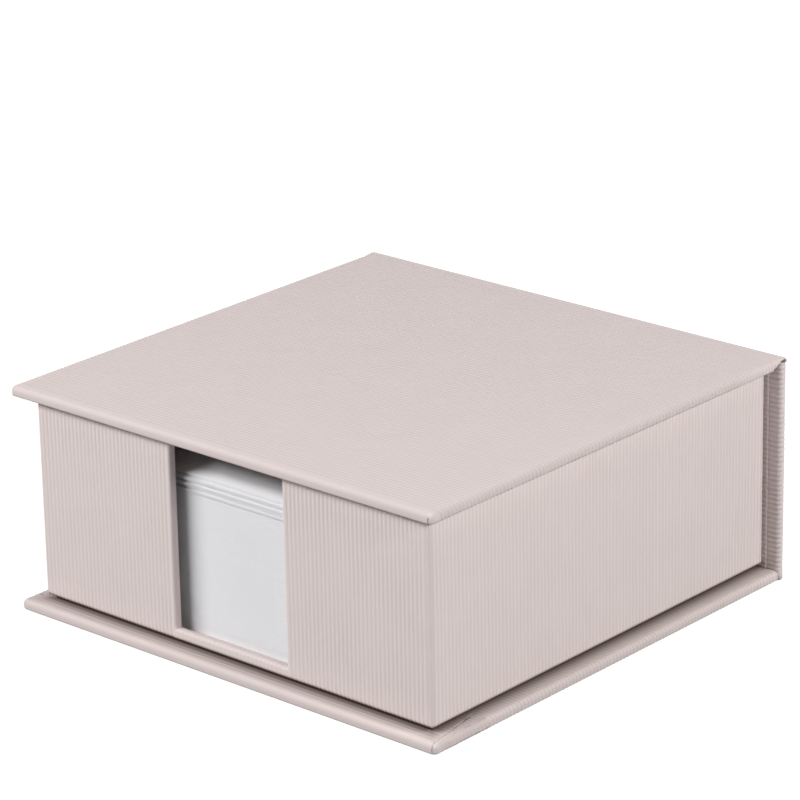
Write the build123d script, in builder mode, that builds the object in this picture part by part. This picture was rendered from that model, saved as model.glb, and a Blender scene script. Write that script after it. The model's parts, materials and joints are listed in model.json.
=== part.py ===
"""Memo box: a book-style case of paper-covered boards with a tray of loose note sheets, in millimetres.

The origin is the middle of the underside, +Z is up, the thumb slot faces -Y and the spine stands at +Y.
"""
import os
from math import cos, radians, tan

from build123d import *

os.makedirs("parts", exist_ok=True)

# Note sheets
sheet_width = 90.0
sheet_thickness = 0.1
block_sheet_count = 276
loose_bundle_count = 6
bundle_sheet_count = 5
loose_gap = 0.1
loose_shift = 0.7
loose_angle = 0.35
sheet_clearance = 2.0

# Boards and papers
case_board = 1.6
tray_board = 1.4
cover_paper = 0.2
wrap_paper = 0.2
lining_paper = 0.2

# Case: base, spine and lid
overhang = 3.4
turn_in = 15.0
lining_margin = 2.8
edge_round = 0.9
lower_edge_round = 0.5
corner_round = 1.2
seam_gap = 0.15
seam_angle = 14.0
base_joint = 0.4
base_crease_round = 0.6
hinge_gap = 3.4
crease_radius = 1.0
lid_seat_gap = 0.2

# Tray
tray_height = 41.0
wall_lift = 0.7
fold_round = 1.0
turn_under = 12.0
tray_corner_round = 1.0
slot_width = 28.0
slot_corner_round = 1.5
sill_height = 3.0

# Sizes that follow from those
tray_wall = tray_board + 2 * wrap_paper
tray_inner = sheet_width + 2 * sheet_clearance
tray_outer = tray_inner + 2 * tray_wall
wrapped_board = case_board + 2 * cover_paper
lined_board = wrapped_board + lining_paper
hinge_thickness = cover_paper + lining_paper
block_height = block_sheet_count * sheet_thickness
bundle_height = bundle_sheet_count * sheet_thickness

# Plan
case_width = tray_outer + 2 * overhang
case_depth = overhang + tray_outer + lined_board
lining_width = case_width - 2 * lining_margin
window_width = case_width - 2 * turn_in
front = -case_depth / 2
back = case_depth / 2
tray_middle = front + overhang + tray_outer / 2
spine_inside = back - cover_paper - case_board
base_back = spine_inside - base_joint
hinge_y = back - crease_radius
lid_back = hinge_y - hinge_gap

# Levels
tray_bottom = wrapped_board
board_bottom = tray_bottom + wrap_paper
wall_fold = tray_bottom + wall_lift
wall_bottom = wall_fold + wrap_paper
floor_top = board_bottom + tray_board
sheet_seat = floor_top + lining_paper
sill = tray_bottom + sill_height
rim = tray_bottom + tray_height
lid_underside = rim + lid_seat_gap
lid_bottom = lid_underside + lining_paper
case_height = lid_underside + lined_board
hinge_z = case_height - crease_radius


def upright_block(width, depth, middle, bottom, top):
    """Plain block, centred on X, between two levels."""
    with BuildPart() as block:
        with BuildSketch(Plane.XY.offset(bottom)):
            with Locations((0, middle)):
                Rectangle(width, depth)
        extrude(amount=top - bottom)
    return block.part


def panel(width, panel_front, panel_back, bottom, top, corner, edge, lower_edge):
    """Flat panel with rounded left, right and front edges and a square back edge."""
    with BuildPart() as slab:
        add(upright_block(width, panel_back - panel_front, (panel_front + panel_back) / 2, bottom, top))
        fillet(slab.edges().filter_by(Axis.Z).group_by(Axis.Y)[0], corner)
        for face, radius in zip(slab.faces().filter_by(Axis.Z).sort_by(Axis.Z), (lower_edge, edge)):
            fillet(face.edges().sort_by(Axis.Y)[:-1], min(radius, 0.45 * (top - bottom)))
    return slab.part


def case_board_panel(panel_back, bottom):
    """Bare board of the base or the lid, one paper thickness inside its cover."""
    width = case_width - 2 * cover_paper
    corner = corner_round - cover_paper
    edge = edge_round - cover_paper
    lower = lower_edge_round - cover_paper
    return panel(width, front + cover_paper, panel_back, bottom, bottom + case_board, corner, edge, lower)


def case_cover_panel(board, panel_back, bottom, turn_in_level):
    """Cover paper of the base or the lid: outer face, wrapped edges, and turn-ins with slanted seams."""
    window_depth = panel_back - front - turn_in
    top = bottom + wrapped_board
    slope = tan(radians(seam_angle))
    seam_start = 1.2 * edge_round / slope
    seam_length = (turn_in - seam_gap / 2 - seam_start) / cos(radians(seam_angle))
    seam_middle = (turn_in - seam_gap / 2 + seam_start) / 2
    flap_end = front + turn_in - seam_gap / 2
    with BuildPart() as cover:
        add(panel(case_width, front, panel_back, bottom, top, corner_round, edge_round, lower_edge_round))
        add(board, mode=Mode.SUBTRACT)
        with BuildSketch(Plane.XY.offset(turn_in_level)):
            with Locations((0, panel_back - window_depth / 2)):
                Rectangle(window_width, window_depth)
            for side in (-1, 1):
                with Locations((side * (case_width / 2 - seam_middle * slope), front + seam_middle)):
                    Rectangle(seam_gap, seam_length, rotation=side * seam_angle)
                with Locations((side * (case_width - turn_in * (1 + slope)) / 2, flap_end)):
                    Rectangle(turn_in * (1 - slope) + seam_gap, seam_gap)
        extrude(amount=cover_paper, mode=Mode.SUBTRACT)
    return cover.part


# Base of the case
with BuildPart() as base_board:
    add(case_board_panel(base_back, cover_paper))

with BuildPart() as base_cover:
    add(case_cover_panel(base_board.part, base_back, 0, wrapped_board - cover_paper))

# Spine of the case, pasted to the back of the tray
with BuildPart() as spine_board:
    board_width = case_width - 2 * cover_paper
    board_middle = spine_inside + case_board / 2
    add(upright_block(board_width, case_board, board_middle, cover_paper, hinge_z))
    fillet(spine_board.edges().filter_by(Axis.Z), edge_round - cover_paper)
    foot = spine_board.edges().filter_by(Axis.X).group_by(Axis.Z)[0].sort_by(Axis.Y)[-1]
    fillet(foot, base_crease_round - cover_paper)

with BuildPart() as spine_cover:
    add(upright_block(case_width, wrapped_board, back - wrapped_board / 2, 0, hinge_z))
    fillet(spine_cover.edges().filter_by(Axis.Z), edge_round)
    foot = spine_cover.edges().filter_by(Axis.X).group_by(Axis.Z)[0].sort_by(Axis.Y)[-1]
    fillet(foot, base_crease_round)
    add(spine_board.part, mode=Mode.SUBTRACT)
    with BuildSketch(Plane.XY.offset(cover_paper)):
        with Locations((0, spine_inside - cover_paper / 2)):
            Rectangle(window_width, cover_paper)
    extrude(amount=hinge_z - cover_paper, mode=Mode.SUBTRACT)
    with BuildSketch():
        with Locations((0, (base_back + spine_inside) / 2)):
            Rectangle(case_width - 2 * corner_round, base_joint)
    extrude(amount=cover_paper)

with BuildPart() as spine_lining:
    with BuildSketch(Plane.XY.offset(tray_bottom)):
        with Locations((0, back - lined_board + lining_paper / 2)):
            Rectangle(lining_width, lining_paper)
        with Locations((0, spine_inside - cover_paper / 2)):
            Rectangle(window_width, cover_paper)
        with Locations((0, back - lined_board + cover_paper / 2)):
            Rectangle(window_width - 2 * lining_paper, cover_paper, mode=Mode.SUBTRACT)
    extrude(amount=hinge_z - tray_bottom)
    with BuildSketch(Plane.XY.offset(hinge_z)):
        with Locations((0, (back - lined_board + hinge_y) / 2)):
            Rectangle(lining_width, hinge_y - back + lined_board)
    extrude(amount=lining_paper)

# Lid of the case
with BuildPart() as lid_board:
    add(case_board_panel(lid_back, lid_bottom + cover_paper))

with BuildPart() as lid_cover:
    add(case_cover_panel(lid_board.part, lid_back, lid_bottom, lid_bottom))

with BuildPart() as lid_lining:
    lining_depth = lid_back - front - lining_margin
    window_depth = lid_back - front - turn_in
    add(upright_block(lining_width, lining_depth, lid_back - lining_depth / 2, lid_underside, lid_bottom))
    window_middle = lid_back - window_depth / 2
    add(upright_block(window_width, window_depth, window_middle, lid_bottom, lid_bottom + cover_paper))
    joint_middle = lid_back + lining_paper / 2
    joint_top = case_height - hinge_thickness
    add(upright_block(lining_width, lining_paper, joint_middle, lid_underside, joint_top))
    dip_width = window_width - 2 * lining_paper
    dip_middle = lid_back + lining_paper - window_depth / 2
    dip = upright_block(dip_width, window_depth, dip_middle, lid_underside, lid_underside + cover_paper)
    add(dip, mode=Mode.SUBTRACT)

# Paper hinge: cover and lining pasted together between the lid board and the top of the spine
with BuildPart() as lid_hinge_strip:
    with BuildSketch(Plane.YZ):
        with BuildLine():
            outer = Line((lid_back, case_height), (hinge_y, case_height))
            bend = CenterArc((hinge_y, hinge_z), crease_radius, 90, -90)
            Line(bend @ 1, (back - hinge_thickness, hinge_z))
            inner_bend = CenterArc((hinge_y, hinge_z), crease_radius - hinge_thickness, 0, 90)
            under = Line(inner_bend @ 1, (lid_back, case_height - hinge_thickness))
            Line(under @ 1, outer @ 0)
        make_face()
    extrude(amount=case_width / 2, both=True)

# Tray: a folded board blank, split at its scored folds, under one wrapping paper
with BuildPart() as tray_outline:
    side = tray_outer - 2 * wrap_paper
    add(upright_block(side, side, tray_middle, wall_bottom, rim - wrap_paper))
    fillet(tray_outline.edges().filter_by(Axis.Z), tray_corner_round - wrap_paper)
    fillet(tray_outline.faces().sort_by(Axis.Z)[0].edges(), fold_round - wrap_paper)

floor_side = tray_inner + 2 * wrap_paper
wall_middle = (floor_side + tray_board) / 2
wall_height = rim - wrap_paper - wall_bottom
wall_level = wall_bottom + wall_height / 2
long_wall = floor_side + 2 * tray_board

with BuildPart() as tray_floor:
    add(upright_block(floor_side, floor_side, tray_middle, board_bottom, floor_top))

with BuildPart() as tray_front_wall:
    with Locations((0, tray_middle - wall_middle, wall_level)):
        Box(long_wall, tray_board, wall_height)
    add(tray_outline.part, mode=Mode.INTERSECT)
    slot_bottom = sill - wrap_paper
    notch_width = slot_width + 2 * wrap_paper
    notch = upright_block(notch_width, tray_board, tray_middle - wall_middle, slot_bottom, rim)
    add(notch, mode=Mode.SUBTRACT)
    wall_top = tray_front_wall.edges().filter_by(Axis.Y).group_by(Axis.Z)[-1]
    fillet(wall_top.sort_by(Axis.X)[1:-1], slot_corner_round - wrap_paper)

with BuildPart() as tray_back_wall:
    with Locations((0, tray_middle + wall_middle, wall_level)):
        Box(long_wall, tray_board, wall_height)
    add(tray_outline.part, mode=Mode.INTERSECT)

with BuildPart() as tray_left_wall:
    with Locations((-wall_middle, tray_middle, wall_level)):
        Box(tray_board, floor_side, wall_height)
    add(tray_outline.part, mode=Mode.INTERSECT)

with BuildPart() as tray_right_wall:
    with Locations((wall_middle, tray_middle, wall_level)):
        Box(tray_board, floor_side, wall_height)
    add(tray_outline.part, mode=Mode.INTERSECT)

with BuildPart() as tray_wrap:
    add(upright_block(tray_outer, tray_outer, tray_middle, wall_fold, rim))
    fillet(tray_wrap.edges().filter_by(Axis.Z), tray_corner_round)
    fillet(tray_wrap.faces().sort_by(Axis.Z)[0].edges(), fold_round)
    foot_side = floor_side + 2 * wrap_paper
    add(upright_block(foot_side, foot_side, tray_middle, tray_bottom, floor_top))
    add(upright_block(tray_inner, tray_inner, tray_middle, floor_top, rim), mode=Mode.SUBTRACT)
    slot_middle = tray_middle - (tray_outer - tray_wall) / 2
    add(upright_block(slot_width, tray_wall, slot_middle, sill, rim), mode=Mode.SUBTRACT)
    jamb_tops = tray_wrap.edges().filter_by(Axis.Y).group_by(Axis.Z)[-1]
    fillet(jamb_tops.filter_by_position(Axis.X, -slot_width / 2, slot_width / 2), slot_corner_round)
    rims = tray_wrap.faces().filter_by(Axis.Z).group_by(Axis.Z)[-1].edges()
    slot_reach = slot_width / 2 + slot_corner_round
    rim_ends = rims.filter_by(Axis.Y).filter_by_position(Axis.X, -slot_reach, slot_reach)
    fillet(rims - rim_ends, 2 * wrap_paper)
    for board in (tray_floor, tray_front_wall, tray_back_wall, tray_left_wall, tray_right_wall):
        add(board.part, mode=Mode.SUBTRACT)
    under_side = tray_outer - 2 * turn_under
    add(upright_block(under_side, under_side, tray_middle, tray_bottom, board_bottom), mode=Mode.SUBTRACT)

with BuildPart() as tray_floor_lining:
    add(upright_block(tray_inner, tray_inner, tray_middle, floor_top, sheet_seat))

# Note sheets: the squared block and the shuffled bundles on top of it
with BuildPart() as sheet_block:
    add(upright_block(sheet_width, sheet_width, tray_middle, sheet_seat, sheet_seat + block_height))

pieces = {
    "base_board": base_board,
    "base_cover": base_cover,
    "spine_board": spine_board,
    "spine_cover": spine_cover,
    "spine_lining": spine_lining,
    "lid_board": lid_board,
    "lid_cover": lid_cover,
    "lid_lining": lid_lining,
    "lid_hinge_strip": lid_hinge_strip,
    "tray_floor": tray_floor,
    "tray_front_wall": tray_front_wall,
    "tray_back_wall": tray_back_wall,
    "tray_left_wall": tray_left_wall,
    "tray_right_wall": tray_right_wall,
    "tray_wrap": tray_wrap,
    "tray_floor_lining": tray_floor_lining,
    "sheet_block": sheet_block,
}

for number in range(1, loose_bundle_count + 1):
    step = loose_shift * number / loose_bundle_count
    way = 1 if number % 2 else -1
    level = sheet_seat + block_height + number * (loose_gap + bundle_height) - bundle_height
    with BuildPart() as loose_bundle:
        with BuildSketch(Plane.XY.offset(level)):
            with Locations((way * step, tray_middle - way * step / 2)):
                Rectangle(sheet_width, sheet_width, rotation=way * loose_angle)
        extrude(amount=bundle_height)
    pieces[f"loose_bundle_{number}"] = loose_bundle

for name, piece in pieces.items():
    piece.part.label = name
    export_step(piece.part, f"parts/{name}.step")
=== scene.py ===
"""Looks of the memo box: ribbed papers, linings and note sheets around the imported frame, in metres."""
from __future__ import annotations

import json
import logging
import math
import random
from collections.abc import Callable, Iterable
from dataclasses import dataclass
from enum import IntEnum

import bmesh
import bpy
from mathutils import Matrix, Vector, noise

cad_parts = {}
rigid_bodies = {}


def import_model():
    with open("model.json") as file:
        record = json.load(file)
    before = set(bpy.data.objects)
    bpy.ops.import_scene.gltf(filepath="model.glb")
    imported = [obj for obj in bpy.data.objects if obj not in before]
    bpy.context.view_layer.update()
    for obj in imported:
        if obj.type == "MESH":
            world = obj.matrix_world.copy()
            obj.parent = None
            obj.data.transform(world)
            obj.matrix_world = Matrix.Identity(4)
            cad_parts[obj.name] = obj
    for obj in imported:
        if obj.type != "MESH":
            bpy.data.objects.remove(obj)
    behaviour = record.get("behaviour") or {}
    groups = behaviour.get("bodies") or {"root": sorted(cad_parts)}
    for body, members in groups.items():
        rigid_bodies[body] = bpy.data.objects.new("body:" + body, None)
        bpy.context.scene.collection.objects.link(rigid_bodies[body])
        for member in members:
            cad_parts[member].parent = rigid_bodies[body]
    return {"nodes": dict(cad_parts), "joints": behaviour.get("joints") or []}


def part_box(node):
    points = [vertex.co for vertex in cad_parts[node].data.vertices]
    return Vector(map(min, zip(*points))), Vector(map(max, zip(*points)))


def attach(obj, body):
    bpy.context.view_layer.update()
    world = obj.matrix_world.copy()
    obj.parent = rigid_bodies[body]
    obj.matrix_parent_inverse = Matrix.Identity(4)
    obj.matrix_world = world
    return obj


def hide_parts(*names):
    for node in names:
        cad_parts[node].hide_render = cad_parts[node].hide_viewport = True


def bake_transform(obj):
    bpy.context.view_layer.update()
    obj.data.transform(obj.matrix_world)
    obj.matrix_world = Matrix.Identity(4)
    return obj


LOG = logging.getLogger("memo_box")
MM = 0.001
# Places nearer than this count as one.
TINY = 0.002 * MM
# Cuts through fine points snap to points nearer than this.
CUT_SNAP = TINY / 10
# An edge runs along an axis if this share of its length does.
ALONG_SHARE = 0.999

Mesh = bmesh.types.BMesh
Place = Callable[[Vector], float]


class Axis(IntEnum):
    """Row axes, numbered as the parts of a vector."""

    X = 0
    Y = 1
    Z = 2


class Inside(IntEnum):
    """The way from a case panel's middle to the face with its turn-ins."""

    UP = 1
    DOWN = -1


def block(low: Vector, high: Vector) -> Mesh:
    """Makes a plain block.

    Args:
        low: lowest corner.
        high: highest corner.

    Returns:
        The block's mesh.
    """
    bm = bmesh.new()
    bmesh.ops.create_cube(bm, size=1.0)
    bmesh.ops.scale(bm, vec=high - low, verts=bm.verts)
    bmesh.ops.translate(bm, vec=(low + high) / 2, verts=bm.verts)
    return bm


def edges_where(bm: Mesh, test: Callable[[Vector, Vector], bool]) -> list[bmesh.types.BMEdge]:
    """Lists the edges whose two ends pass a test."""
    return [e for e in bm.edges if test(e.verts[0].co, e.verts[1].co)]


def round_edges(bm: Mesh, edges: list[bmesh.types.BMEdge], radius: float, segments: int) -> None:
    """Rounds edges to a radius.

    Args:
        bm: mesh to change.
        edges: edges to round.
        radius: radius of the round.
        segments: faces across the round.
    """
    bmesh.ops.bevel(
        bm,
        geom=edges,
        offset=radius,
        offset_type="OFFSET",
        affect="EDGES",
        segments=segments,
        profile=0.5,
        material=-1,
        clamp_overlap=True,
    )


def cut(bm: Mesh, axis: Axis, places: Iterable[float]) -> None:
    """Cuts new edges right through a mesh, square to an axis.

    Args:
        bm: mesh to change.
        axis: axis that the cuts are square to.
        places: where along the axis.
    """
    normal = Vector((0, 0, 0))
    normal[axis] = 1
    for place in places:
        geometry = bm.verts[:] + bm.edges[:] + bm.faces[:]
        bmesh.ops.bisect_plane(bm, geom=geometry, dist=TINY, plane_co=normal * place, plane_no=normal)


def refine(bm: Mesh, axis: Axis, step: float, low: float, high: float) -> None:
    """Divides the edges that run along an axis, so that ribs across it have enough points.

    Args:
        bm: mesh to change.
        axis: axis that the edges run along.
        step: longest edge left.
        low: place where the divided stretch starts.
        high: place where it ends.
    """
    runs: dict[tuple[int, int], list[bmesh.types.BMEdge]] = {}
    for edge in bm.edges:
        start, end = sorted(v.co[axis] for v in edge.verts)
        along = end - start > ALONG_SHARE * edge.calc_length()
        if along and start > low - TINY and end < high + TINY:
            runs.setdefault((round(start / TINY), round(end / TINY)), []).append(edge)
    for run in runs.values():
        cuts = int(run[0].calc_length() / step)
        if cuts:
            bmesh.ops.subdivide_edges(bm, edges=run, cuts=cuts, use_grid_fill=True)


def remove_faces(bm: Mesh, test: Callable[[bmesh.types.BMFace], bool]) -> None:
    """Deletes the faces that pass a test, and what only they held."""
    bm.normal_update()
    bmesh.ops.delete(bm, geom=[f for f in bm.faces if test(f)], context="FACES")


def spread(low: float, high: float, count: int) -> list[float]:
    """Gives evenly spaced places strictly between two ends."""
    return [low + (high - low) * n / (count + 1) for n in range(1, count + 1)]


def ease(value: float, low: float, high: float) -> float:
    """Gives 0 below low, 1 above high and a smooth step between."""
    share = min(1.0, max(0.0, (value - low) / (high - low)))
    return share * share * (3 - 2 * share)


@dataclass(frozen=True)
class Ribs:
    """The fine ribs that are embossed in the cover paper."""

    pitch: float = 0.985 * MM
    depth: float = 0.095 * MM
    samples: int = 6
    sharpness: float = 1.4
    wander: float = 0.3
    wander_scale: float = 160.0
    drift: float = 0.12
    drift_scale: float = 70.0
    # Point attribute with each groove's depth, which also sets the painted shade in the grooves.
    groove_layer: str = "groove"
    # Point attribute with the painted shade in folds, under the tray and along wrapped edges.
    painted_shade_layer: str = "crease"

    @property
    def step(self) -> float:
        """Longest edge across a rib."""
        return self.pitch / self.samples

    def groove(self, across: float, point: Vector) -> float:
        """Gives how deep the paper is pressed at a point.

        Args:
            across: distance across the ribs.
            point: the point itself, for the paper's unevenness.

        Returns:
            0 on a crest and about 1 at the bottom of a groove.
        """
        uneven = 1 + self.wander * noise.noise(point * self.wander_scale)
        shift = self.drift * noise.noise(point * self.drift_scale)
        wave = 0.5 - 0.5 * math.cos(2 * math.pi * (across / self.pitch + shift))
        return wave**self.sharpness * uneven

    def shade(self, bm: Mesh, depth: Place) -> None:
        """Keeps the painted shade of a fold or an edge at each point, as a point attribute.

        Args:
            bm: mesh to change.
            depth: 0 for the plain paper and 1 for the full painted shade, deep in a fold.
        """
        layer = bm.verts.layers.float.new(self.painted_shade_layer)
        for vert in bm.verts:
            vert[layer] = depth(vert.co)

    def emboss(self, bm: Mesh, across: Place, mask: Place) -> None:
        """Presses the grooves in, against the normals, and keeps their depth as a point attribute, which
        also sets the painted shade in the grooves.

        Args:
            bm: mesh to change, with enough points across the ribs.
            across: distance across the ribs at a point.
            mask: share of the full depth at a point.
        """
        layer = bm.verts.layers.float.new(self.groove_layer)
        bm.normal_update()
        for vert in bm.verts:
            vert[layer] = self.groove(across(vert.co), vert.co) * mask(vert.co)
        for vert in bm.verts:
            vert.co -= vert.normal * (self.depth * vert[layer])


@dataclass(frozen=True)
class PaperFinish:
    """A matt paper or board: colour, cloudiness, fibre and tooth, with painted shade in its grooves,
    folds and wrapped edges.
    """

    name: str
    slot: str
    colour: tuple[float, float, float]
    mottle: float = 0.03
    # Painted shade: how much darker the grooves, the folds and the wrapped edges are drawn, and its tint.
    groove_painted_shade: float = 0.1
    painted_shade_strength: float = 0.9
    painted_shade_tint: tuple[float, float, float] = (0.95, 1.0, 1.04)
    fibre_size: float = 0.3 * MM
    fibre_detail: float = 5.0
    fibre_share: float = 0.45
    cloud_size: float = 9.0 * MM
    cloud_detail: float = 3.0
    noise_roughness: float = 0.6
    tooth: float = 0.25
    tooth_height: float = 0.02 * MM
    roughness: float = 0.88
    roughness_spread: float = 0.06
    specular: float = 0.25

    def material(self) -> bpy.types.Material:
        """Builds the node material, or gives the one that is there.

        Returns:
            The material, which all pieces with this finish share.
        """
        if self.name in bpy.data.materials:
            return bpy.data.materials[self.name]
        made = bpy.data.materials.new(self.name)
        made.use_nodes = True
        nodes, links = made.node_tree.nodes, made.node_tree.links
        shader = nodes["Principled BSDF"]
        shader.inputs["Specular IOR Level"].default_value = self.specular
        coords = nodes.new("ShaderNodeTexCoord").outputs["Object"]
        fibre = self._noise(nodes, links, coords, 1 / self.fibre_size, self.fibre_detail)
        cloud = self._noise(nodes, links, coords, 1 / self.cloud_size, self.cloud_detail)
        tint = nodes.new("ShaderNodeMix")
        tint.data_type = "RGBA"
        tint.inputs["A"].default_value = (*[c * (1 - self.mottle) for c in self.colour], 1)
        tint.inputs["B"].default_value = (*[c * (1 + self.mottle) for c in self.colour], 1)
        blend = nodes.new("ShaderNodeMath")
        blend.operation = "MULTIPLY_ADD"
        blend.inputs[1].default_value = self.fibre_share
        links.new(fibre, blend.inputs[0])
        clouding = nodes.new("ShaderNodeMath")
        clouding.operation = "MULTIPLY"
        clouding.inputs[1].default_value = 1 - self.fibre_share
        links.new(cloud, clouding.inputs[0])
        links.new(clouding.outputs[0], blend.inputs[2])
        links.new(blend.outputs[0], tint.inputs["Factor"])
        colour = tint.outputs["Result"]
        # Painted shade in the grooves, in the folds and along the wrapped edges.
        painted_shades = {Ribs.groove_layer: self.groove_painted_shade, Ribs.painted_shade_layer: self.painted_shade_strength}
        for layer, dark in painted_shades.items():
            colour = self._paint_shade(nodes, links, colour, layer, dark)
        links.new(colour, shader.inputs["Base Color"])
        rough = nodes.new("ShaderNodeMapRange")
        rough.inputs["To Min"].default_value = self.roughness - self.roughness_spread
        rough.inputs["To Max"].default_value = self.roughness + self.roughness_spread
        links.new(fibre, rough.inputs["Value"])
        links.new(rough.outputs["Result"], shader.inputs["Roughness"])
        bump = nodes.new("ShaderNodeBump")
        bump.inputs["Strength"].default_value = self.tooth
        bump.inputs["Distance"].default_value = self.tooth_height
        links.new(fibre, bump.inputs["Height"])
        links.new(bump.outputs["Normal"], shader.inputs["Normal"])
        return made

    def _paint_shade(
        self,
        nodes: bpy.types.Nodes,
        links: bpy.types.NodeLinks,
        colour: bpy.types.NodeSocket,
        layer: str,
        dark: float,
    ) -> bpy.types.NodeSocket:
        """Paints shade into a colour by a point attribute, a little towards red.

        Args:
            nodes: the material's nodes.
            links: the material's links.
            colour: socket with the colour.
            layer: name of the point attribute.
            dark: how much darker the painted shade makes the colour where the attribute is 1.

        Returns:
            The socket with the new colour.
        """
        pressed = nodes.new("ShaderNodeAttribute")
        pressed.attribute_name = layer
        shade = nodes.new("ShaderNodeMix")
        shade.data_type = "RGBA"
        shade.blend_type = "MULTIPLY"
        shade.inputs["B"].default_value = (*[1 - dark * k for k in self.painted_shade_tint], 1)
        links.new(pressed.outputs["Fac"], shade.inputs["Factor"])
        links.new(colour, shade.inputs["A"])
        return shade.outputs["Result"]

    def _noise(
        self,
        nodes: bpy.types.Nodes,
        links: bpy.types.NodeLinks,
        coords: bpy.types.NodeSocket,
        scale: float,
        detail: float,
    ) -> bpy.types.NodeSocket:
        """Adds a noise texture on the object's own coordinates.

        Args:
            nodes: the material's nodes.
            links: the material's links.
            coords: socket with the coordinates.
            scale: spots per metre.
            detail: layers of finer spots.

        Returns:
            The socket with the noise's value.
        """
        texture = nodes.new("ShaderNodeTexNoise")
        texture.inputs["Scale"].default_value = scale
        texture.inputs["Detail"].default_value = detail
        texture.inputs["Roughness"].default_value = self.noise_roughness
        links.new(coords, texture.inputs["Vector"])
        return texture.outputs["Fac"]


COVER = PaperFinish("ribbed cover paper", "cover_paper", (0.70, 0.615, 0.598))
LINING = PaperFinish("ribbed lining paper", "lining_paper", (0.69, 0.605, 0.588))
BOARD = PaperFinish("grey board", "grey_board", (0.36, 0.345, 0.31), mottle=0.18, fibre_size=0.6 * MM)
NOTE = PaperFinish(
    "white note paper", "note_paper", (0.76, 0.762, 0.778), mottle=0.012, fibre_size=0.2 * MM
)


@dataclass
class PaperPiece:
    """A finished piece of paper on the object."""

    name: str
    body: str
    finish: PaperFinish

    def build(self) -> bpy.types.Object:
        """Builds the piece, each kind in its own way."""
        raise NotImplementedError

    def place(
        self, bm: Mesh, nodes: Iterable[str], thickness: float = 0.0, rides: bool = True
    ) -> bpy.types.Object:
        """Makes the piece's object, dresses it and lets it ride on its body.

        Args:
            bm: the mesh, which is used up.
            nodes: CAD nodes that the piece stands for.
            thickness: paper thickness to add behind the faces, or 0 for a closed mesh.
            rides: whether it moves with its body as it is; a piece that bends does not.

        Returns:
            The new object.
        """
        mesh = bpy.data.meshes.new(self.name)
        bm.to_mesh(mesh)
        bm.free()
        mesh.shade_smooth()
        mesh.materials.append(self.finish.material())
        made = bpy.data.objects.new(self.name, mesh)
        bpy.context.scene.collection.objects.link(made)
        if thickness:
            layer = made.modifiers.new("paper", "SOLIDIFY")
            layer.thickness = thickness
            layer.offset = -1
        if rides:
            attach(made, self.body)
        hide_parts(*nodes)
        LOG.info("%s: %d faces on %s", self.name, len(mesh.polygons), self.body)
        return made


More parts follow.
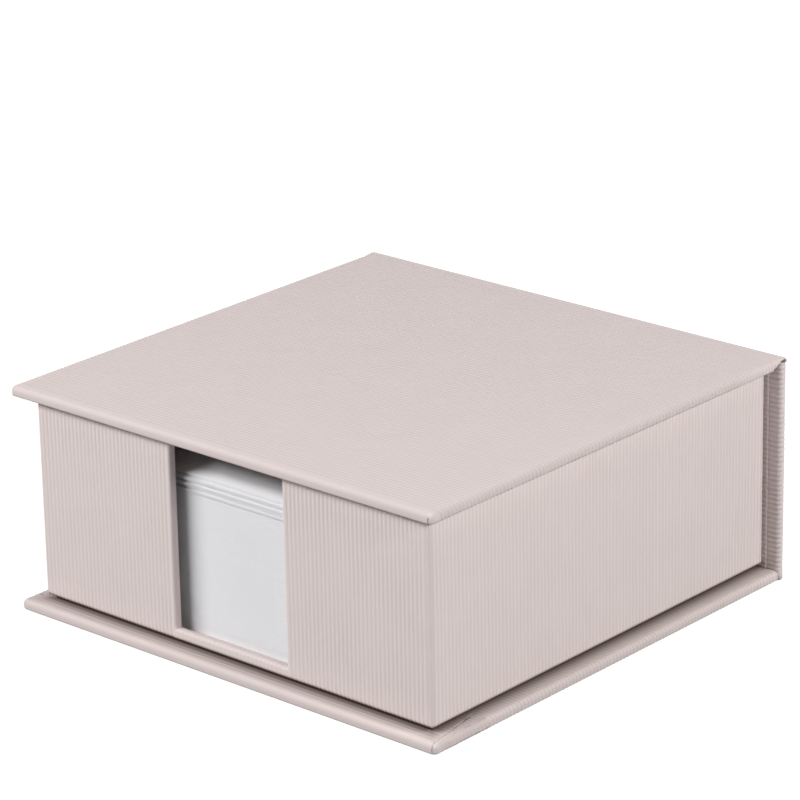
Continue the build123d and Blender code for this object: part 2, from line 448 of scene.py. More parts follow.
@dataclass
class CasePanelCover(PaperPiece):
    """Cover paper of the lid or the base: outer face, wrapped edges and turn-ins that meet in mitres."""

    node: str
    inside: Inside
    ribs: Ribs
    smooth_front: float = 1.6 * MM
    turn_in: float = 15.0 * MM
    corner: float = 1.2 * MM
    edge: float = 0.9 * MM
    lower_edge: float = 0.5 * MM
    paper: float = 0.12 * MM
    carries: str = ""
    # Painted shadow in the fold under the carried tray and on the strip beside it.
    shade_under: float = 1.6 * MM
    shade_reach: float = 3.6 * MM
    shade_power: float = 1.8
    # Painted shade that tones the wrapped edges down, where the lamps light them brighter than the faces.
    painted_edge_shade: float = 0.13
    seam_inset: float = 0.75 * MM
    seam_angle: float = 11.0
    seam_gap: float = 0.13 * MM
    seam_depth: float = 1.3 * MM
    lip_width: float = 0.5 * MM
    lip_height: float = 0.06 * MM
    columns: int = 10
    flap_columns: int = 5
    shade_rows: int = 5
    segments: int = 6

    def build(self) -> bpy.types.Object:
        """Builds the wrapped panel, open over its board and towards the spine.

        Returns:
            The piece\'s object.
        """
        low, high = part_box(self.node)
        bm = block(low, high)
        front, back = low.y, high.y
        uprights = edges_where(bm, lambda a, b: abs(a.z - b.z) > TINY and a.y < front + TINY)
        round_edges(bm, uprights, self.corner, self.segments)
        for level, radius in ((high.z, self.edge), (low.z, self.lower_edge)):
            rims = edges_where(bm, lambda a, b: max(abs(a.z - level), abs(b.z - level)) < TINY)
            wrapped = [e for e in rims if min(v.co.y for v in e.verts) < back - TINY]
            round_edges(bm, wrapped, radius, self.segments)
        window_front = front + self.turn_in
        window_side = high.x - self.turn_in
        flaps = spread(window_side, high.x - self.corner, self.flap_columns)
        cut(bm, Axis.Y, (front + self.smooth_front, window_front))
        cut(bm, Axis.X, [-window_side, window_side] + spread(-window_side, window_side, self.columns))
        cut(bm, Axis.X, flaps + [-x for x in flaps])
        # Extra rows beside the tray, to carry the painted shadow.
        if self.carries:
            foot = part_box(self.carries)[1].x
            rows = spread(foot - self.shade_under, foot + self.shade_reach, self.shade_rows)
            cut(bm, Axis.X, rows + [-x for x in rows])
        inner_level = high.z if self.inside is Inside.UP else low.z

        def is_open(face: bmesh.types.BMFace) -> bool:
            """Tells whether a face lies over the board or towards the spine, where no paper is."""
            middle = face.calc_center_median()
            in_window = abs(middle.x) < window_side and middle.y > window_front
            return middle.y > back - TINY or (in_window and abs(middle.z - inner_level) < TINY)

        remove_faces(bm, is_open)
        refine(bm, Axis.Y, self.ribs.step, front + self.smooth_front, back)
        fade = (front + self.smooth_front, front + self.smooth_front + self.ribs.pitch)
        self.ribs.emboss(bm, lambda p: back - p.y, lambda p: ease(p.y, *fade))
        self.paint_fold_and_edge_shade(bm, low, high, inner_level)
        for side in (-1, 1):
            self.open_seam(bm, Vector((side * (high.x - self.seam_inset), front, inner_level)))
        return self.place(bm, [self.node], self.paper)

    def paint_fold_and_edge_shade(self, bm: Mesh, low: Vector, high: Vector, level: float) -> None:
        """Paints a little shade on the wrapped edges, and a painted shadow in the fold under the tray if
        the panel carries it.

        Args:
            bm: mesh to change.
            low: lowest corner of the panel.
            high: highest corner of the panel.
            level: level of its inner face.
        """
        tray_low, tray_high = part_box(self.carries) if self.carries else (low, high)
        reach = self.shade_under + self.shade_reach

        def on_edge(point: Vector) -> float:
            """Gives the painted shade on a wrapped edge, which fades towards the spine."""
            out = max(abs(point.x) - high.x, low.y - point.y) + self.edge
            return self.painted_edge_shade * ease(out, 0.0, self.edge) * ease(high.y - point.y, 0.0, self.turn_in)

        def in_fold(point: Vector) -> float:
            """Gives the painted shadow on the inner face, which fades with the distance from the tray."""
            away = max(abs(point.x) - tray_high.x, tray_low.y - point.y) + self.shade_under
            on_top = point.z > level - self.edge
            return (1 - min(max(away / reach, 0.0), 1.0)) ** self.shade_power if on_top else 0.0

        self.ribs.shade(bm, lambda p: max(on_edge(p), in_fold(p) if self.carries else 0.0))

    def open_seam(self, bm: Mesh, corner: Vector) -> None:
        """Opens the thin slanted seam where two turn-ins meet, and lifts its lips a little.

        Args:
            bm: mesh to change.
            corner: where the seam starts, on the panel's inner face.
        """
        slant = math.radians(self.seam_angle)
        across = Vector((math.cos(slant), math.copysign(math.sin(slant), corner.x), 0))

        def near(point: Vector) -> bool:
            """Tells whether a point lies in the seam's corner of the panel, near its inner face."""
            same_side = point.x * corner.x > 0
            along = point.y - corner.y
            return same_side and along < self.turn_in and abs(point.z - corner.z) < self.seam_depth

        for shift in (-self.lip_width, -self.seam_gap / 2, self.seam_gap / 2, self.lip_width):
            faces = [f for f in bm.faces if near(f.calc_center_median())]
            edges = (e for f in faces for e in f.edges)
            verts = (v for f in faces for v in f.verts)
            geometry = list({*faces, *edges, *verts})
            place = corner + across * shift
            bmesh.ops.bisect_plane(bm, geom=geometry, dist=CUT_SNAP, plane_co=place, plane_no=across)

        def in_seam(face: bmesh.types.BMFace) -> bool:
            """Tells whether a face lies between the seam's two edges."""
            middle = face.calc_center_median()
            return near(middle) and abs((middle - corner).dot(across)) < self.seam_gap / 2

        remove_faces(bm, in_seam)
        bm.normal_update()
        for vert in bm.verts:
            if near(vert.co) and abs((vert.co - corner).dot(across)) < self.seam_gap:
                vert.co += vert.normal * self.lip_height


@dataclass
class SpineCover(PaperPiece):
    """Cover paper of the spine, with its turn-ins and the strip that joins the base."""

    node: str
    spine_board: str
    ribs: Ribs
    turn_in: float = 15.0 * MM
    edge: float = 0.9 * MM
    foot: float = 0.6 * MM
    paper: float = 0.12 * MM
    skin: float = 0.2 * MM
    lead: float = 4.97 * MM
    columns: int = 14
    edge_segments: int = 5
    foot_segments: int = 4

    def build(self) -> bpy.types.Object:
        """Builds the wrapped spine, open over its board and at the top.

        Returns:
            The piece\'s object.
        """
        low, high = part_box(self.node)
        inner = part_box(self.spine_board)[0].y - self.skin
        bm = block(Vector((low.x, inner, low.z)), high)
        uprights = edges_where(bm, lambda a, b: abs(a.z - b.z) > TINY)
        round_edges(bm, uprights, self.edge, self.edge_segments)

        def is_foot(a: Vector, b: Vector) -> bool:
            """Tells whether an edge lies along the foot, behind the inner corners."""
            return max(a.z, b.z) < low.z + TINY and min(a.y, b.y) > inner + self.edge

        round_edges(bm, edges_where(bm, is_foot), self.foot, self.foot_segments)
        smooth = low.z + 2 * self.foot
        side = high.x - self.turn_in
        cut(bm, Axis.Z, (smooth,))
        cut(bm, Axis.X, [-side, side] + spread(-side, side, self.columns))

        def is_open(face: bmesh.types.BMFace) -> bool:
            """Tells whether a face lies over the board or at the top, where no paper is."""
            middle = face.calc_center_median()
            return middle.z > high.z - TINY or (middle.y < inner + TINY and abs(middle.x) < side)

        remove_faces(bm, is_open)
        refine(bm, Axis.Z, self.ribs.step, smooth, high.z)
        fade = (smooth, smooth + self.ribs.pitch)
        self.ribs.emboss(bm, lambda p: self.lead + high.z - p.z, lambda p: ease(p.z, *fade))
        return self.place(bm, [self.node], self.paper)


@dataclass
class JointPaper(PaperPiece):
    """The strip of cover paper under the joint of base and spine."""

    node: str
    base: str
    reach: float = 1.4 * MM
    skin: float = 0.25 * MM
    lift: float = 0.025 * MM
    end_round: float = 0.1 * MM
    inset: float = 0.5 * MM
    segments: int = 3

    def build(self) -> bpy.types.Object:
        """Builds the strip from the base's back edge to the spine, round at both ends.

        Returns:
            The piece\'s object.
        """
        low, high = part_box(self.node)
        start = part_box(self.base)[1].y
        bm = block(
            Vector((low.x + self.inset, start - self.inset, low.z + self.lift)),
            Vector((high.x - self.inset, start + self.reach, low.z + self.skin)),
        )
        across = edges_where(bm, lambda a, b: abs(a.x - b.x) < TINY)
        round_edges(bm, across, self.end_round, self.segments)
        return self.place(bm, [self.node])


@dataclass
class HingeStrip(PaperPiece):
    """The paper hinge: a strip that bends between lid and spine, its sides folded in under the lid."""

    node: str
    panel: str
    joint: str
    lid_body: str
    ribs: Ribs
    paper: float = 0.2 * MM
    thin_fold: float = 0.45 * MM
    edge: float = 0.9 * MM
    thin_edge: float = 0.3 * MM
    thin_share: float = 0.95
    tail: float = 1.8 * MM
    rib_share: float = 0.9
    columns: int = 18
    fold_steps: int = 8

    def build(self) -> bpy.types.Object:
        """Builds the strip as a grid laid along the crease and round its two side folds.

        Returns:
            The piece\'s object.
        """
        low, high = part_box(self.node)
        panel_low, panel_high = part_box(self.panel)
        pivot = Vector(next(j for j in FRAME["joints"] if j["name"] == self.joint)["pos_m"])
        radius = high.z - pivot.z
        flat = pivot.y - low.y
        length = flat + radius * math.pi / 2
        thick_fold = panel_high.z - panel_low.z
        stations = self.stations()
        rows = int(length / self.ribs.step)
        bm = bmesh.new()
        bmesh.ops.create_grid(bm, x_segments=len(stations) - 1, y_segments=rows, size=0.5)
        for vert in bm.verts:
            along = (vert.co.y + 0.5) * length
            share, angle, tail = stations[round((vert.co.x + 0.5) * (len(stations) - 1))]
            thin = ease(along, 0.0, self.thin_share * flat)
            fold = thick_fold + (self.thin_fold - thick_fold) * thin
            edge = self.edge + (self.thin_edge - self.edge) * thin
            turn = max(0.0, along - flat) / radius
            out = Vector((0, math.sin(turn), math.cos(turn)))
            top = Vector((0, low.y + along, high.z)) if along < flat else pivot + out * radius
            side = math.copysign(1, share)
            reach = share * (high.x - edge) + side * (edge * math.sin(angle) - tail)
            vert.co = top - out * (fold * (1 - math.cos(angle)) / 2)
            vert.co.x = reach

        def across(point: Vector) -> float:
            """Gives the length along the strip from its end on the lid, counted downwards."""
            if point.y <= pivot.y:
                return low.y - point.y
            return -flat - radius * math.atan2(point.y - pivot.y, point.z - pivot.z)

        self.ribs.emboss(bm, across, lambda p: self.rib_share)
        made = self.place(bm, [self.node], self.paper, rides=False)
        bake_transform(made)
        return made

    def stations(self) -> list[tuple[float, float, float]]:
        """Lists the grid's columns from side to side.

        Returns:
            Each column's share of the flat half width, angle round the side fold and length under it.
        """
        flat = [(2 * n / self.columns - 1, 0.0, 0.0) for n in range(self.columns + 1)]
        fold = [(1.0, math.pi * n / self.fold_steps, 0.0) for n in range(1, self.fold_steps + 1)]
        fold += [(1.0, math.pi, self.tail / 2), (1.0, math.pi, self.tail)]
        return [(-share, angle, tail) for share, angle, tail in reversed(fold)] + flat + fold


@dataclass
class LidLining(PaperPiece):
    """Lining on the lid's inside, pasted over the turn-ins and down the lid's back edge."""

    node: str
    ribs: Ribs
    window: float = 12.2 * MM
    dip: float = 0.2 * MM
    slope: float = 0.5 * MM
    paper: float = 0.15 * MM
    columns: int = 14

    def build(self) -> bpy.types.Object:
        """Builds the sheet with its dip inside the turn-ins.

        Returns:
            The piece\'s object.
        """
        low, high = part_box(self.node)
        back = high.y
        bm = block(low, Vector((high.x, back, low.z + self.dip)))
        remove_faces(bm, lambda f: f.normal.z > -0.5 and f.normal.y < 0.5)
        side, start = high.x - self.window, low.y + self.window
        steps = [side - 2 * self.slope, side - self.slope, side, side + self.slope, high.x - self.slope]
        cut(bm, Axis.X, steps + [-x for x in steps])
        cut(bm, Axis.X, spread(-steps[0], steps[0], self.columns))
        cut(bm, Axis.Y, (start, start + self.slope))
        lip = [e for e in bm.edges if min(v.co.z for v in e.verts) > low.z + self.dip - TINY]
        grown = bmesh.ops.extrude_edge_only(bm, edges=lip)
        moved = [g for g in grown["geom"] if isinstance(g, bmesh.types.BMVert)]
        bmesh.ops.translate(bm, vec=(0, 0, high.z - low.z - self.dip), verts=moved)
        refine(bm, Axis.Y, self.ribs.step, low.y, back)

        def sunk(point: Vector) -> float:
            """Gives how far the sheet dips at a point."""
            inside = min(side - abs(point.x), point.y - start)
            return self.dip * ease(inside, 0, self.slope)

        for vert in bm.verts:
            if vert.co.z < low.z + TINY:
                vert.co.z += sunk(vert.co)
        self.ribs.emboss(bm, lambda p: back - p.y, lambda p: 1.0 if p.z < low.z + 2 * self.dip else 0.0)
        return self.place(bm, [self.node], self.paper)


@dataclass
class SpineLining(PaperPiece):
    """Lining on the spine's inside, folded over the top of its board."""

    node: str
    ribs: Ribs
    paper: float = 0.15 * MM
    columns: int = 14
    segments: int = 3

    def build(self) -> bpy.types.Object:
        """Builds the sheet and its fold over the spine's top.

        Returns:
            The piece\'s object.
        """
        low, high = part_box(self.node)
        bm = block(low, high)
        remove_faces(bm, lambda f: f.normal.y > -0.5 and f.normal.z < 0.5)

        def is_fold(a: Vector, b: Vector) -> bool:
            """Tells whether an edge is the fold over the board's top."""
            return min(a.z, b.z) > high.z - TINY and max(a.y, b.y) < low.y + TINY

        round_edges(bm, edges_where(bm, is_fold), self.paper, self.segments)
        cut(bm, Axis.X, (low.x + 2 * self.paper, high.x - 2 * self.paper))
        cut(bm, Axis.X, spread(low.x, high.x, self.columns))
        cut(bm, Axis.Z, (high.z - 2 * self.paper,))
        refine(bm, Axis.Z, self.ribs.step, low.z, high.z - 2 * self.paper)
        fade = (high.z - 2 * self.ribs.pitch, high.z - self.ribs.pitch)
        self.ribs.emboss(bm, lambda p: high.z - p.z, lambda p: 1 - ease(p.z, *fade))
        return self.place(bm, [self.node], self.paper)


@dataclass
class TrayWrap(PaperPiece):
    """Ribbed paper on one wall of the tray: outside, rim and inside, with round folds."""

    turns: int
    ribs: Ribs
    slot_width: float = 0.0
    sill: float = 0.0
    node: str = "tray_wrap"
    slot_corner: float = 1.5 * MM
    slot_margin: float = 0.05 * MM
    wall: float = 1.8 * MM
    lift: float = 0.7 * MM
    fold: float = 1.0 * MM
    rim: float = 0.5 * MM
    rim_reach: float = 0.6 * MM
    corner: float = 1.0 * MM
    corner_fade: float = 0.3 * MM
    paper: float = 0.12 * MM
    rib_shift: float = 0.3 * MM
    sill_ribs: float = 0.4
    levels: int = 9
    segments: int = 6
    rim_segments: int = 4

    def build(self) -> bpy.types.Object:
        """Builds the wall facing -Y about the tray's middle, then turns it to its side.

        Returns:
            The piece\'s object.
        """
        low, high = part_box(self.node)
        middle = Vector(((low.x + high.x) / 2, (low.y + high.y) / 2, 0))
        half = (high.x - low.x) / 2
        bottom, top = low.z + self.lift, high.z
        clear = self.slot_width / 2
        bm = self.outline(half, bottom, top)
        self.round_folds(bm, half, bottom, top)
        remove_faces(bm, lambda f: abs(f.calc_center_median().x) > half - TINY)
        stops = [-half, half]
        if clear:
            jamb = [clear - self.rim_reach, clear + self.rim_reach]
            jamb.append(clear + self.slot_corner + self.slot_margin)
            stops = [-half, *(-x for x in reversed(jamb)), *jamb, half]
            cut(bm, Axis.X, stops[1:-1])
            cut(bm, Axis.Z, (self.sill - self.rim_reach, self.sill + self.rim_reach))
            cut(bm, Axis.Z, (top - self.slot_corner,))
        cut(bm, Axis.Z, spread(bottom + self.fold, top - self.slot_corner, self.levels))
        for start, end in zip(stops, stops[1:]):
            refine(bm, Axis.X, self.ribs.step, start, end)
        self.bend_corners(bm, half)
        self.mitre(bm, half)

        def mask(point: Vector) -> float:
            """Gives the ribs' share of their depth, 0 on the slot's folds and at the wall's ends."""
            beside = ease(abs(abs(point.x) - clear), self.rim, 2 * self.rim) if clear else 1.0
            on_sill = self.sill_ribs if clear and abs(point.x) < clear else 1.0
            return beside * on_sill * ease(half - abs(point.x), 0.0, self.corner_fade)

        self.ribs.emboss(bm, lambda p: p.x + self.turns * self.rib_shift, mask)
        # Painted shade on the fold under the wall: full at the bottom, gone at the top of the fold.
        self.ribs.shade(bm, lambda p: 1 - ease(p.z, bottom, bottom + self.fold))
        turn = Matrix.Translation(middle) @ Matrix.Rotation(self.turns * math.pi / 2, 4, "Z")
        bmesh.ops.transform(bm, matrix=turn, verts=bm.verts)
        return self.place(bm, [self.node], self.paper)

    def outline(self, half: float, bottom: float, top: float) -> Mesh:
        """Makes the plain wall, with the slot where it has one.

        Args:
            half: half the tray's outer side.
            bottom: lowest level.
            top: level of the rim.

        Returns:
            The wall's closed mesh, its outer face towards -Y.
        """
        clear = self.slot_width / 2
        corners = [(-half, bottom), (half, bottom), (half, top), (-half, top)]
        if clear:
            corners[3:3] = [(clear, top), (clear, self.sill), (-clear, self.sill), (-clear, top)]
        bm = bmesh.new()
        face = bm.faces.new([bm.verts.new((x, -half, z)) for x, z in corners])
        grown = bmesh.ops.extrude_face_region(bm, geom=[face])
        moved = [g for g in grown["geom"] if isinstance(g, bmesh.types.BMVert)]
        bmesh.ops.translate(bm, vec=(0, self.wall, 0), verts=moved)
        bmesh.ops.recalc_face_normals(bm, faces=bm.faces)
        return bm

    def round_folds(self, bm: Mesh, half: float, bottom: float, top: float) -> None:
        """Rounds the fold under the wall, the slot's upper corners, and the rim with the slot's edges.

        Args:
            bm: mesh to change.
            half: half the tray's outer side.
            bottom: lowest level.
            top: level of the rim.
        """

        def is_under(a: Vector, b: Vector) -> bool:
            """Tells whether an edge is the outer one under the wall."""
            return max(a.z, b.z) < bottom + TINY and max(a.y, b.y) < -half + TINY

        round_edges(bm, edges_where(bm, is_under), self.fold, self.segments)
        if self.slot_width:
            reach = self.slot_width / 2 + TINY

            def is_jamb_top(a: Vector, b: Vector) -> bool:
                """Tells whether an edge is one of the slot's upper corners."""
                return abs(a.y - b.y) > TINY and min(a.z, b.z) > top - TINY and abs(a.x) < reach

            round_edges(bm, edges_where(bm, is_jamb_top), self.slot_corner, self.segments)

        def is_lip(a: Vector, b: Vector) -> bool:
            """Tells whether an edge belongs to the rim or the slot, on either face of the wall."""
            in_face = abs(a.y - b.y) < TINY and min(abs(a.y + half), abs(a.y + half - self.wall)) < TINY
            at_end = abs(a.x - b.x) < TINY and abs(a.x) > half - TINY
            return in_face and not at_end and min(a.z, b.z) > bottom + self.fold + TINY

        round_edges(bm, edges_where(bm, is_lip), self.rim, self.rim_segments)

    def bend_corners(self, bm: Mesh, half: float) -> None:
        """Rounds the wall's two upright outer edges, where the next wall's paper goes on.

        Args:
            bm: mesh to change.
            half: half the tray's outer side.
        """
        for vert in bm.verts:
            depth = vert.co.y + half
            radius = self.corner - depth
            reach = self.corner - (half - abs(vert.co.x)) - depth
            if radius > TINY and reach > 0:
                vert.co.y += radius - math.sqrt(max(0.0, radius**2 - reach**2))

    def mitre(self, bm: Mesh, half: float) -> None:
        """Cuts both ends of the wall at 45 degrees, where the next walls start.

        Args:
            bm: mesh to change.
            half: half the tray's outer side.
        """
        for side in (-1, 1):
            bmesh.ops.bisect_plane(
                bm,
                geom=bm.verts[:] + bm.edges[:] + bm.faces[:],
                dist=CUT_SNAP,
                plane_co=(side * half, -half, 0),
                plane_no=(side, 1, 0),
                clear_outer=True,
            )


@dataclass
class TrayFoot(PaperPiece):
    """The set-back band of paper between the raised walls and the base, drawn in full painted shade."""

    node: str
    wrap: str
    skin: float = 0.2 * MM
    height: float = 0.8 * MM
    segments: int = 3

    def build(self) -> bpy.types.Object:
        """Builds the band round the tray floor's edge.

        Returns:
            The piece\'s object.
        """
        low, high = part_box(self.node)
        bottom = low - Vector((self.skin, self.skin, self.skin))
        top = Vector((high.x + self.skin, high.y + self.skin, low.z + self.height))
        bm = block(bottom, top)
        uprights = edges_where(bm, lambda a, b: abs(a.z - b.z) > TINY)
        round_edges(bm, uprights, self.skin, self.segments)
        remove_faces(bm, lambda f: abs(f.normal.z) > 0.5)
        # The whole band carries full painted shade.
        Ribs().shade(bm, lambda p: 1.0)
        return self.place(bm, [self.wrap], self.skin / 2)


@dataclass
class SheetStack(PaperPiece):
    """The squared note sheets, each one a thin plate."""

    node: str
    count: int
    seed: int = 7
    shuffle: float = 0.02 * MM
    air: float = 0.006 * MM

    def build(self) -> bpy.types.Object:
        """Builds the stack sheet by sheet.

        Returns:
            The piece\'s object.
        """
        low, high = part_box(self.node)
        draw = random.Random(self.seed)
        pitch = (high.z - low.z) / self.count
        middle = (low + high) / 2
        spare = 2 * self.shuffle
        size = Vector((high.x - low.x - spare, high.y - low.y - spare, pitch - self.air))
        bm = bmesh.new()
        for number in range(self.count):
            sheet = bmesh.ops.create_cube(bm, size=1.0)["verts"]
            shift = Vector((draw.uniform(-1, 1), draw.uniform(-1, 1), 0)) * self.shuffle
            centre = Vector((middle.x, middle.y, low.z + (number + 0.5) * pitch)) + shift
            bmesh.ops.scale(bm, vec=size, verts=sheet)
            bmesh.ops.translate(bm, vec=centre, verts=sheet)
        made = self.place(bm, [self.node])
        made.data.shade_flat()
        return made


@dataclass
class LooseBundle(PaperPiece):
    """A few shuffled sheets on top of the stack, with a slight wave along their front."""

    node: str
    number: int
    tilt: float = 0.35
    count: int = 5
    side: float = 90.0 * MM
    wave: float = 0.09 * MM
    wave_start: float = 9.0 * MM
    wave_step: float = 1.7
    wave_turn: float = 5.0
    air: float = 0.012 * MM
    shuffle: float = 0.05 * MM
    divisions: int = 24

    def build(self) -> bpy.types.Object:
        """Builds the bundle sheet by sheet, each a thin grid with the bundle's wave.

        Returns:
            The piece\'s object.
        """
        low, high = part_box(self.node)
        middle = (low + high) / 2
        draw = random.Random(self.number)
        pitch = (high.z - low.z) / self.count
        bm = bmesh.new()
        for layer in range(1, self.count + 1):
            sheet = bmesh.ops.create_grid(
                bm, x_segments=self.divisions, y_segments=self.divisions, size=self.side / 2
            )["verts"]
            for vert in sheet:
                near = ease(-vert.co.y, self.wave_start, self.side / 2)
                angle = self.number * self.wave_step + vert.co.x / self.side * self.wave_turn
                vert.co.z = self.wave * near * (0.5 - 0.5 * math.sin(angle))
            shift = Vector((draw.uniform(-1, 1), draw.uniform(-1, 1), 0)) * self.shuffle
            bmesh.ops.translate(bm, vec=shift + Vector((0, 0, layer * pitch)), verts=sheet)
        way = 1 if self.number % 2 else -1
        turn = Matrix.Rotation(math.radians(self.tilt * way), 4, "Z")
        bmesh.ops.transform(bm, matrix=turn, verts=bm.verts)
        bmesh.ops.translate(bm, vec=(middle.x, middle.y, low.z), verts=bm.verts)
        return self.place(bm, [self.node], pitch - self.air)


def direction(azimuth: float, elevation: float) -> Vector:
    """Gives the way from the box towards a camera or a lamp.

    Args:
        azimuth: degrees round the box, 0 at its front and 90 at its right side.
        elevation: degrees above the floor.

    Returns:
        The unit vector.
    """
    turn, rise = math.radians(azimuth), math.radians(elevation)
    return Vector((math.sin(turn) * math.cos(rise), -math.cos(turn) * math.cos(rise), math.sin(rise)))


@dataclass(frozen=True)
class Lamp:
    """A wide, low softbox that faces the object."""

    name: str
    azimuth: float
    elevation: float
    level: float
    width: float = 0.75
    height: float = 0.06
    distance: float = 0.9

    def build(self, aim: Vector) -> bpy.types.Object:
        """Adds the lamp at the power that lights a facing white surface to about its level.

        Args:
            aim: the point that it faces.

        Returns:
            The lamp's object.
        """
        away = direction(self.azimuth, self.elevation)
        light = bpy.data.lights.new(self.name, "AREA")
        light.shape = "RECTANGLE"
        light.size = self.width
        light.size_y = self.height
        light.energy = self.level * (math.pi * self.distance) ** 2
        made = bpy.data.objects.new(self.name, light)
        made.location = aim + away * self.distance
        made.rotation_euler = (-away).to_track_quat("-Z", "Y").to_euler()
        bpy.context.scene.collection.objects.link(made)
        return made


@dataclass(frozen=True)
class Studio:
    """The photograph's camera, the pale floor and plain soft light."""

    azimuth: float = 41.664
    elevation: float = 20.225
    roll: float = 1.133
    place: tuple[float, float, float] = (465.061 * MM, -522.896 * MM, 297.382 * MM)
    focal_pixels: float = 3953.266
    frame_pixels: float = 800.0
    sensor_width: float = 36.0
    sight: float = 10.0
    floor_half: float = 2.0
    sky: float = 0.03
    floor_shade: float = 0.22
    floor_glow: float = 0.9
    floor_roughness: float = 0.9
    aim: tuple[float, float, float] = (0.0, 0.0, 20.0 * MM)
    lamps: tuple[Lamp, ...] = (
        Lamp("front lamp", -27.0, 31.5, 1.03),
        Lamp("side lamp", 97.0, 30.0, 0.94),
        Lamp("back lamp", 220.0, 6.0, 0.4),
    )

    def build(self) -> None:
        """Sets the camera, the floor, the lamps and the world."""
        self.camera()
        self.floor()
        self.world()
        for lamp in self.lamps:
            lamp.build(Vector(self.aim))
        bpy.context.scene.view_settings.view_transform = "Standard"

    def camera(self) -> None:
        """Places the camera at the photograph's viewing angle."""
        roll = math.radians(self.roll)
        back = direction(self.azimuth, self.elevation)
        level = (-back).cross(Vector((0, 0, 1))).normalized()
        down = (-back).cross(level)
        right = math.cos(roll) * level + math.sin(roll) * down
        up = math.sin(roll) * level - math.cos(roll) * down
        data = bpy.data.cameras.new("camera")
        data.sensor_width = self.sensor_width
        data.lens = self.focal_pixels / self.frame_pixels * data.sensor_width
        data.clip_end = self.sight
        made = bpy.data.objects.new("camera", data)
        facing = Matrix((right, up, back)).transposed().to_4x4()
        made.matrix_world = Matrix.Translation(self.place) @ facing
        bpy.context.scene.collection.objects.link(made)
        bpy.context.scene.camera = made

    def floor(self) -> None:
        """Lays the pale floor, which shows white to the camera and keeps the shadow."""
        bm = bmesh.new()
        bmesh.ops.create_grid(bm, x_segments=2, y_segments=2, size=self.floor_half)
        mesh = bpy.data.meshes.new("floor")
        bm.to_mesh(mesh)
        bm.free()
        pale = bpy.data.materials.new("pale floor")
        pale.use_nodes = True
        nodes, links = pale.node_tree.nodes, pale.node_tree.links
        shader = nodes["Principled BSDF"]
        shader.inputs["Base Color"].default_value = (*[self.floor_shade] * 3, 1)
        shader.inputs["Roughness"].default_value = self.floor_roughness
        shader.inputs["Emission Color"].default_value = (1, 1, 1, 1)
        glow = seen_directly(nodes, links, 0.0, self.floor_glow)
        links.new(glow, shader.inputs["Emission Strength"])
        mesh.materials.append(pale)
        made = bpy.data.objects.new("floor", mesh)
        bpy.context.scene.collection.objects.link(made)

    def world(self) -> None:
        """Lights the object evenly and shows white where the camera looks past the floor."""
        sky = bpy.data.worlds.new("studio")
        sky.use_nodes = True
        nodes, links = sky.node_tree.nodes, sky.node_tree.links
        background = nodes["Background"]
        background.inputs["Color"].default_value = (1, 1, 1, 1)
        links.new(seen_directly(nodes, links, self.sky, 1.0), background.inputs["Strength"])
        bpy.context.scene.world = sky


def seen_directly(
    nodes: bpy.types.Nodes, links: bpy.types.NodeLinks, plain: float, seen: float
) -> bpy.types.NodeSocket:
    """Gives a strength socket: one value for light, another for what the camera or a reflection sees.

    Args:
        nodes: the node tree's nodes.
        links: the node tree's links.
        plain: strength for the light on the object.
        seen: strength for camera, glossy and transmission rays.

    Returns:
        The output socket with the strength.
    """
    path = nodes.new("ShaderNodeLightPath")
    either = nodes.new("ShaderNodeMath")
    either.operation = "MAXIMUM"
    links.new(path.outputs["Is Camera Ray"], either.inputs[0])
    links.new(path.outputs["Is Glossy Ray"], either.inputs[1])
    any_view = nodes.new("ShaderNodeMath")
    any_view.operation = "MAXIMUM"
    links.new(either.outputs[0], any_view.inputs[0])
    links.new(path.outputs["Is Transmission Ray"], any_view.inputs[1])
    strength = nodes.new("ShaderNodeMapRange")
    strength.inputs["To Min"].default_value = plain
    strength.inputs["To Max"].default_value = seen
    links.new(any_view.outputs[0], strength.inputs["Value"])
    return strength.outputs["Result"]


def dress(nodes: Iterable[str], finish: PaperFinish) -> None:
    """Gives CAD nodes that stay in view their finish.

    Args:
        nodes: names of the nodes.
        finish: finish that they get.
    """
    for name in nodes:
        slots = FRAME["nodes"][name].data.materials
        slots.clear()
        slots.append(finish.material())


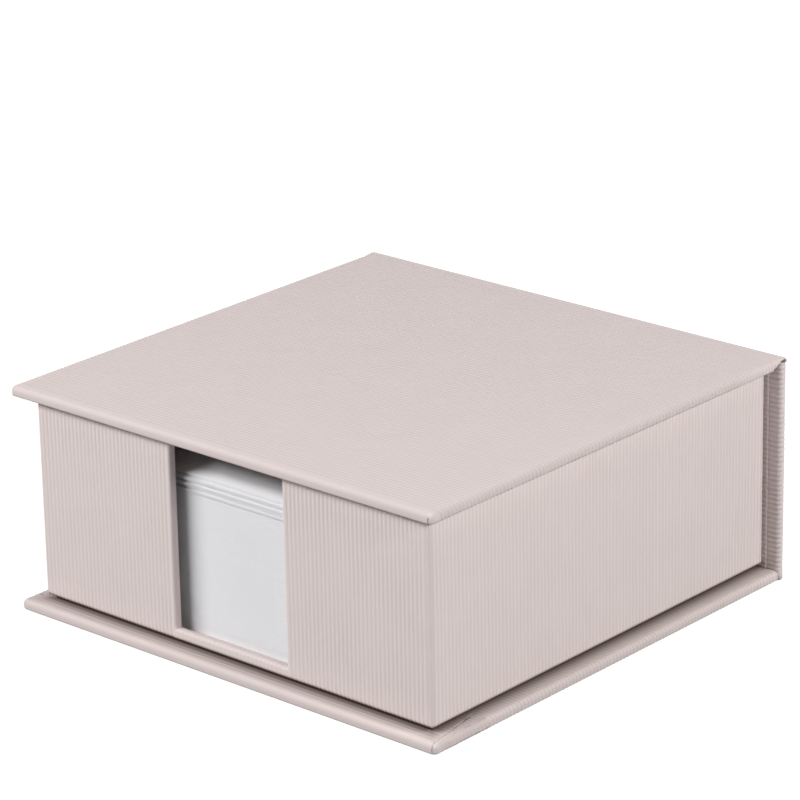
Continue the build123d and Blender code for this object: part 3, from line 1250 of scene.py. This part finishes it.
def main() -> None:
    """Builds the box piece by piece, then the studio."""
    logging.basicConfig(level=logging.INFO, format="%(name)s %(message)s")
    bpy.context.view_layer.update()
    ribs = Ribs()
    lid_ribs = Ribs(depth=0.08 * MM)
    slot_width, sill_height = 28.0 * MM, 3.0 * MM
    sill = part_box("tray_wrap")[0].z + sill_height
    loose_bundles = 6
    pieces: list[PaperPiece] = [
        CasePanelCover(
            "lid_cover_paper", "lid", COVER, "lid_cover", Inside.DOWN, lid_ribs, smooth_front=1.7 * MM
        ),
        CasePanelCover(
            "base_cover_paper",
            "box",
            COVER,
            "base_cover",
            Inside.UP,
            lid_ribs,
            smooth_front=1.0 * MM,
            carries="tray_wrap",
            columns=4,
            flap_columns=3,
        ),
        SpineCover("spine_cover_paper", "box", COVER, "spine_cover", "spine_board", ribs),
        JointPaper("joint_paper", "box", COVER, "spine_cover", "base_cover"),
        HingeStrip(
            "hinge_paper", "box", COVER, "lid_hinge_strip", "lid_cover", "lid_hinge", "lid", lid_ribs
        ),
        LidLining("lid_lining_paper", "lid", LINING, "lid_lining", ribs),
        SpineLining("spine_lining_paper", "box", LINING, "spine_lining", ribs),
        TrayWrap("tray_front_paper", "box", COVER, 0, ribs, slot_width, sill),
        TrayWrap("tray_right_paper", "box", COVER, 1, ribs),
        TrayWrap("tray_back_paper", "box", COVER, 2, ribs),
        TrayWrap("tray_left_paper", "box", COVER, 3, ribs),
        TrayFoot("tray_foot_paper", "box", COVER, "tray_floor", "tray_wrap"),
        SheetStack("note_stack", "sheets", NOTE, "sheet_block", count=276),
    ]
    for number in range(1, loose_bundles + 1):
        node = f"loose_bundle_{number}"
        pieces.append(LooseBundle(f"top_notes_{number}", "sheets", NOTE, node, number))
    for piece in pieces:
        piece.build()
    boards = ["base_board", "spine_board", "lid_board", "tray_floor"]
    boards += [f"tray_{side}_wall" for side in ("front", "back", "left", "right")]
    dress(boards, BOARD)
    dress(["tray_floor_lining"], LINING)
    Studio().build()


if __name__ == "__main__":
    for old in list(bpy.data.objects):
        bpy.data.objects.remove(old)
    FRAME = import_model()
    main()
